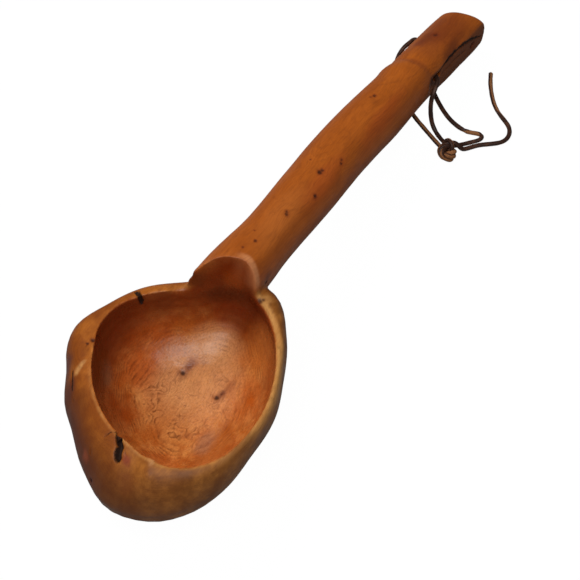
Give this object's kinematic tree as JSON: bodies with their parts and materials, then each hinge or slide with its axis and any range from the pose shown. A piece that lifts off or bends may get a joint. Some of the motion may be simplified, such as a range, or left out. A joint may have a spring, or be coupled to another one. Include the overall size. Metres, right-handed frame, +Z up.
{
  "type": "ladle",
  "caption": "Hand-carved burl ladle with a deep round bowl, a thick straight handle split flat at the tip, and a leather thong knotted through a hole.",
  "frame": {"origin": "middle of the flat under the bowl, on the table that the ladle lies on", "axes": "+X along the handle towards its tip, +Z up out of the bowl, +Y to the left when looking along the handle to the tip"},
  "size_m": [0.4471, 0.1479, 0.0823],
  "materials": {
    "wood": "reddish-brown burl with honey-coloured sapwood at the rim, oiled to a soft gloss",
    "leather": "dark brown waxed leather lace, satin, with paler worn edges"
  },
  "bodies": {
    "root": {"ladle": "wood", "thong_right_strand": "leather", "thong_left_strand": "leather", "thong_long_tail": "leather", "thong_short_tail": "leather", "thong_knot": "leather"}
  },
  "joints": []
}
